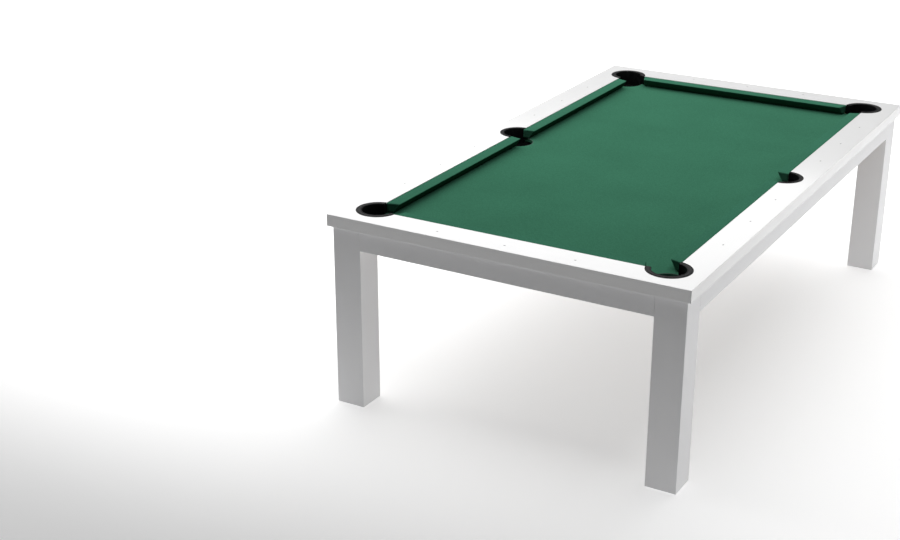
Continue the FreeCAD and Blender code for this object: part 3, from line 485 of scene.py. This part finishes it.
def side_centre(name, y_side):
    """Centre and collar radius of a side pocket."""
    node = "pocket_collar_side_" + name
    radius = high(node).x
    y = (high(node).y - radius) if y_side > 0 else (low(node).y + radius)
    return Vector((0, y, 0)), radius


def corner_centre(name, x_side, y_side):
    """Centre of a corner pocket."""
    node = "pocket_collar_" + name
    reach_x = high(node).x if x_side > 0 else -low(node).x
    reach_y = high(node).y if y_side > 0 else -low(node).y
    return Vector(((reach_x - CORNER_RADIUS) * x_side, (reach_y - CORNER_RADIUS) * y_side, 0))


POCKETS = []              # name, centre, collar radius, the way the pocket opens, kind
for corner_name, corner_x, corner_y in CORNERS:
    POCKETS.append((corner_name, corner_centre(corner_name, corner_x, corner_y), CORNER_RADIUS,
                    math.atan2(-corner_y, -corner_x), "corner"))
for side_name, side_y in SIDES:
    spot, radius = side_centre(side_name, side_y)
    POCKETS.append(("side_" + side_name, spot, radius, math.atan2(-side_y, 0), "side"))
CHEEK_END = abs(POCKETS[0][1].y) - high("cushion_cloth_head").y    # to the cushions' ends


def bed():
    """Bed cloth: one sheet with six holes, rolled over the slate's edge into each."""
    half_x, half_y = high("bed_cloth").x, high("bed_cloth").y
    flat_radius = HOLE_RADIUS + ROLL_RADIUS
    centres = [centre for _, centre, _, _, _ in POCKETS]
    around = 72
    points = []
    edges = []

    def loop(corners):
        first = len(points)
        points.extend(corners)
        count = len(corners)
        edges.extend((first + index, first + (index + 1) % count) for index in range(count))

    loop([Vector((-half_x, -half_y)), Vector((half_x, -half_y)),
          Vector((half_x, half_y)), Vector((-half_x, half_y))])
    for centre in centres:
        loop([Vector((centre.x + flat_radius * math.cos(2 * math.pi * step / around),
                      centre.y + flat_radius * math.sin(2 * math.pi * step / around)))
              for step in range(around)])
    pitch = 0.08
    columns, rows = int(half_x / pitch), int(half_y / pitch)
    for column in range(-columns, columns + 1):
        for row in range(-rows, rows + 1):
            spot = Vector((column * pitch, row * pitch))
            clear = all((spot - centre.xy).length > flat_radius + 0.02 for centre in centres)
            if clear and abs(spot.x) < half_x - 0.01 and abs(spot.y) < half_y - 0.01:
                points.append(spot)
    flat, _, triangles, _, _, _ = delaunay_2d_cdt(points, edges, [], 1, 1e-6)
    vertices = [Vector((spot.x, spot.y, BED_TOP)) for spot in flat]
    faces = []
    for triangle in triangles:
        middle = sum((flat[index] for index in triangle), Vector((0, 0))) / 3
        if all((middle - centre.xy).length > flat_radius * 0.999 for centre in centres):
            faces.append(tuple(triangle))
    lip = SLATE_UNDER + 0.001
    roll_steps = 6
    profile = [(HOLE_RADIUS + ROLL_RADIUS * (1 - math.sin(angle)),
                BED_TOP - ROLL_RADIUS * (1 - math.cos(angle)))
               for angle in (math.pi / 2 * step / roll_steps for step in range(roll_steps + 1))]
    profile += [(HOLE_RADIUS, BED_TOP - ROLL_RADIUS + (lip - BED_TOP + ROLL_RADIUS) * share)
                for share in (0.5, 1.0)]
    for centre in centres:
        first = len(vertices)
        for radius, height in profile:
            for step in range(around):
                angle = 2 * math.pi * step / around
                vertices.append(Vector((centre.x + radius * math.cos(angle),
                                        centre.y + radius * math.sin(angle), height)))
        for ring in strip_faces(len(profile), around, True):
            faces.append(tuple(first + index for index in reversed(ring)))
    cloth = piece("bed_cover", vertices, faces, "bed_cloth", sharp=60.0)
    shape = bmesh.new()
    shape.from_mesh(cloth.data)
    bmesh.ops.remove_doubles(shape, verts=shape.verts, dist=1e-5)
    bmesh.ops.recalc_face_normals(shape, faces=shape.faces)
    up = max(shape.faces, key=lambda face: face.calc_area())
    if up.normal.z < 0:
        bmesh.ops.reverse_faces(shape, faces=shape.faces)
    shape.to_mesh(cloth.data)
    shape.free()
    thicken(cloth, CLOTH)
    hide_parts("bed_cloth")


def rounded_corner(before, corner, after, radius, steps):
    """Points of an arc that rounds one corner of an outline."""
    to_before = (before - corner).normalized()
    to_after = (after - corner).normalized()
    half_angle = to_before.angle(to_after) / 2
    reach = radius / math.tan(half_angle)
    bisector = (to_before + to_after).normalized()
    centre = corner + bisector * (radius / math.sin(half_angle))
    start = corner + to_before * reach - centre
    end = corner + to_after * reach - centre
    turn = math.atan2(start.x * end.y - start.y * end.x, start.dot(end))
    points = []
    for step in range(steps + 1):
        angle = turn * step / steps
        points.append(centre + Vector((start.x * math.cos(angle) - start.y * math.sin(angle),
                                       start.x * math.sin(angle) + start.y * math.cos(angle))))
    return points


def rounded_outline(corners):
    """A closed outline of (x, y, radius) corners, each rounded where its radius is not 0."""
    arc_steps = 4
    outline = []
    count = len(corners)
    spots = [Vector((x, y)) for x, y, _ in corners]
    for index, (_, _, radius) in enumerate(corners):
        if radius <= 0:
            outline.append(spots[index])
            continue
        outline.extend(rounded_corner(spots[index - 1], spots[index],
                                      spots[(index + 1) % count], radius, arc_steps))
    return outline


def collar_outline(outer):
    """Section of the collar: liner wall, seat, flange with a rim bead and two grooves."""
    top = high("pocket_collar_side_left").z
    foot = low("pocket_collar_side_left").z
    groove = top - 0.0010
    return rounded_outline((
        (BORE, foot, 0.0006), (BORE + WALL, foot, 0.0006), (BORE + WALL, SEAT, 0),
        (outer, SEAT, 0), (outer, top - 0.0002, 0.0012), (outer - 0.0036, top - 0.0002, 0.0009),
        (outer - 0.0042, groove, 0.0004), (outer - 0.0052, groove, 0.0004),
        (outer - 0.0058, top - 0.0001, 0.0006), (BORE + 0.0055, top - 0.0001, 0.0009),
        (BORE + 0.0048, groove, 0.0004), (BORE + 0.0041, groove, 0.0004),
        (BORE + 0.0035, top, 0.0008), (BORE, top, 0.0022)))


def cheek(centre, x_way, y_way, swapped):
    """Wall that runs on from a corner liner along one rail, to the cushion's end."""
    edge = abs(centre.x) - CAP_EDGE_X
    inside = edge + WALL
    plan = rounded_outline(((BORE, edge, 0), (CHEEK_END, edge, 0),
                            (CHEEK_END, inside, 0.0014), (BORE, inside, 0)))
    rings = ((BED_TOP, 0.0006), (BED_TOP + 0.0006, 0.0), (SEAT, 0.0))   # height, chamfer
    vertices = []
    for height, shrink in rings:
        for spot in plan:
            along, across = spot.x, spot.y - shrink * (spot.y > edge)
            if swapped:
                along, across = across, along
            vertices.append(Vector((centre.x + along * x_way, centre.y + across * y_way, height)))
    count = len(plan)
    faces = strip_faces(len(rings), count, True)
    faces.append(tuple(range(count)))
    faces.append(tuple(range(len(vertices) - count, len(vertices))))
    return vertices, faces


def collar(name, centre, outer, opening, kind):
    """Moulded collar and liner; a corner one carries a cheek along either rail."""
    outline = collar_outline(outer)
    edge = CAP_EDGE_Y - abs(centre.y)
    vertices = []
    steps = 96
    for step in range(steps + 1):
        share = step / steps
        for spot in outline:
            cut = edge
            if kind == "corner" and math.hypot(CHEEK_END, edge - WALL) > spot.x:
                cut = edge - WALL
            lean = math.asin(cut / spot.x)
            start = (math.pi / 4 if kind == "corner" else math.pi / 2) + lean
            angle = opening + start + (2 * math.pi - 2 * start) * share
            vertices.append(Vector((centre.x + spot.x * math.cos(angle),
                                    centre.y + spot.x * math.sin(angle), spot.y)))
    count = len(outline)
    faces = strip_faces(steps + 1, count, True)
    faces.append(tuple(range(count - 1, -1, -1)))
    faces.append(tuple(range(steps * count, steps * count + count)))
    if kind == "corner":
        x_way, y_way = -math.copysign(1, centre.x), -math.copysign(1, centre.y)
        for swapped in (False, True):
            first = len(vertices)
            more, walls = cheek(centre, x_way, y_way, swapped)
            vertices += more
            faces += [tuple(first + index for index in wall) for wall in walls]
    ring = piece("collar_" + name, vertices, faces, "collar_plastic", sharp=50.0)
    outward(ring)
    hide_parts("pocket_collar_" + name)


bed()
for pocket in POCKETS:
    collar(*pocket)


# ---------------------------------------------------------------- feet

STUD_RADIUS = 0.0060      # M12 thread
PITCH = 0.00175
THREAD_DEPTH = 0.00105


def stud(name):
    """Threaded stud with a chamfered hexagon."""
    node = "foot_stud_" + name
    lowest, highest = low(node), high(node)
    centre = (lowest + highest) / 2
    around = 24
    rings_in_turn = 4
    steps = int((highest.z - lowest.z - 0.001) / PITCH) * rings_in_turn
    vertices = []
    for ring in range(steps + 1):
        for step in range(around):
            angle = 2 * math.pi * step / around
            phase = (ring / rings_in_turn - step / around) % 1.0
            depth = THREAD_DEPTH * (1 - abs(2 * phase - 1))
            end = min(ring, steps - ring) / rings_in_turn
            depth = max(depth, THREAD_DEPTH * (1 - end))
            up = lowest.z + (highest.z - lowest.z) * ring / steps
            vertices.append(Vector((centre.x + (STUD_RADIUS - depth) * math.cos(angle),
                                    centre.y + (STUD_RADIUS - depth) * math.sin(angle), up)))
    faces = strip_faces(steps + 1, around, True)
    faces.append(tuple(range(around - 1, -1, -1)))
    faces.append(tuple(range(steps * around, (steps + 1) * around)))
    nut = len(vertices)
    across = (highest.x - lowest.x) / 2
    under = high("foot_pad_" + name).z + 0.0002
    chamfers = ((0.0, 0.93), (0.0007, 1.0), (0.0039, 1.0), (0.0046, 0.93))   # height, reach
    for up, corner_share in chamfers:
        for step in range(around):
            angle = 2 * math.pi * step / around
            # angle to the nearest corner of the hexagon
            to_corner = abs((angle + math.pi / 6) % (math.pi / 3) - math.pi / 6)
            flat = across * math.cos(math.pi / 6) / math.cos(math.pi / 6 - to_corner)
            reach = min(flat, across * corner_share)
            vertices.append(Vector((centre.x + reach * math.cos(angle),
                                    centre.y + reach * math.sin(angle), under + up)))
    faces += [tuple(nut + index for index in face)
              for face in strip_faces(len(chamfers), around, True)]
    faces.append(tuple(range(nut + around - 1, nut - 1, -1)))
    faces.append(tuple(range(len(vertices) - around, len(vertices))))
    screw = piece("stud_thread_" + name, vertices, faces, "stud_steel", "stud_" + name, 28.0)
    outward(screw)
    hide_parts(node)


def foot(name):
    """Moulded pad: dished top with a socket boss, grooved rim and a ribbed sole."""
    node = "foot_pad_" + name
    lowest, highest = low(node), high(node)
    centre = (lowest + highest) / 2
    radius = (highest.x - lowest.x) / 2
    base, top = lowest.z, highest.z
    outline = rounded_outline((
        (0.0, base + 0.0006, 0), (0.0060, base + 0.0006, 0.0002), (0.0066, base, 0.0002),
        (0.0100, base, 0.0002), (0.0106, base + 0.0006, 0.0002), (0.0134, base + 0.0006, 0.0002),
        (0.0140, base, 0.0002), (radius - 0.0010, base, 0.0005), (radius, base + 0.0010, 0.0005),
        (radius, base + 0.0019, 0.0002), (radius - 0.0007, base + 0.0023, 0.0002),
        (radius, base + 0.0027, 0.0002), (radius, top - 0.0010, 0.0006),
        (radius - 0.0014, top - 0.0002, 0.0008), (radius - 0.0030, top - 0.0008, 0.0006),
        (0.0135, top - 0.0008, 0.0006), (0.0128, top, 0.0004), (0.0061, top, 0.0003),
        (0.0061, top - 0.0030, 0), (0.0, top - 0.0030, 0)))
    around = 72
    vertices = [Vector((centre.x, centre.y, outline[0].y)), Vector((centre.x, centre.y, outline[-1].y))]
    ring = outline[1:-1]
    for step in range(around):
        angle = 2 * math.pi * step / around
        for spot in ring:
            vertices.append(Vector((centre.x + spot.x * math.cos(angle),
                                    centre.y + spot.x * math.sin(angle), spot.y)))
    count = len(ring)
    faces = []
    for step in range(around):
        here = 2 + step * count
        there = 2 + (step + 1) % around * count
        faces.append((0, there, here))
        faces.append((1, here + count - 1, there + count - 1))
        faces += [(here + index, there + index, there + index + 1, here + index + 1)
                  for index in range(count - 1)]
    pad = piece("pad_" + name, vertices, faces, "foot_pad_rubber", "pad_" + name, 40.0)
    outward(pad)
    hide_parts(node)


for corner_name, _, _ in CORNERS:
    stud(corner_name)
    foot(corner_name)


# ---------------------------------------------------------------- studio

def area_light(name, place, aim, size, power):
    """Rectangular lamp at a place, turned to the point it aims at."""
    data = bpy.data.lights.new(name, "AREA")
    data.shape = "RECTANGLE"
    data.size, data.size_y = size
    data.energy = power
    lamp = bpy.data.objects.new(name, data)
    bpy.context.scene.collection.objects.link(lamp)
    lamp.location = place
    lamp.rotation_euler = (Vector(aim) - Vector(place)).to_track_quat("-Z", "Y").to_euler()


def studio():
    """White sweep of floor under one large lamp, with a low lamp along the right side; the floor itself
    also glows, a painted light that fills the shade round the table.
    """
    world = bpy.data.worlds.new("studio")
    world.use_nodes = True
    background = world.node_tree.nodes["Background"]
    background.inputs["Color"].default_value = (1.0, 1.0, 1.0, 1.0)
    background.inputs["Strength"].default_value = 0.03
    bpy.context.scene.world = world
    bpy.context.scene.view_settings.view_transform = "Standard"
    area_light("overhead", (2.8, 3.0, 3.3), (2.8, 3.0, 0.0), (9.4, 10.0), 540)
    area_light("side_fill", (0.0, -4.5, 0.35), (0.0, 0.0, 0.35), (8.0, 0.55), 42)

    mesh = bpy.data.meshes.new("floor")
    shape = bmesh.new()
    bmesh.ops.create_circle(shape, cap_ends=True, radius=40.0, segments=96)
    shape.to_mesh(mesh)
    shape.free()
    floor = bpy.data.objects.new("floor", mesh)
    bpy.context.scene.collection.objects.link(floor)
    paint = Shader("floor")
    paint.colour(paint.ramp(paint.noise(0.4, 2.0),
                            ((0.3, (0.80, 0.80, 0.80)), (0.7, (0.82, 0.82, 0.82)))))
    paint.set(Roughness=0.9, Emission_Color=(1.0, 1.0, 1.0, 1.0))
    # painted light: the floor glows, faintly towards the head end and more strongly towards the foot
    # end
    across = paint.add("ShaderNodeSeparateXYZ")
    paint.link(paint.coords, across.inputs[0])
    painted_glow = paint.add("ShaderNodeMapRange", interpolation_type="SMOOTHSTEP")
    for key, value in (("From Min", -2.5), ("From Max", -1.15), ("To Min", 0.1), ("To Max", 0.5)):
        painted_glow.inputs[key].default_value = value
    paint.link(across.outputs["X"], painted_glow.inputs["Value"])
    paint.link(painted_glow.outputs["Result"], paint.bsdf.inputs["Emission Strength"])
    mesh.materials.append(paint.material)


def camera():
    """Three-quarter view over the head end and the right side."""
    data = bpy.data.cameras.new("camera")
    data.lens = 60.315
    data.sensor_width = 36.0
    eye = bpy.data.objects.new("camera", data)
    bpy.context.scene.collection.objects.link(eye)
    heading = math.radians(30.444)
    tilt = math.radians(-22.151)
    eye.location = (-5.3996, -2.2630, 2.6114)
    eye.rotation_euler = (math.pi / 2 + tilt, 0.0, heading - math.pi / 2)
    bpy.context.scene.camera = eye


studio()
camera()
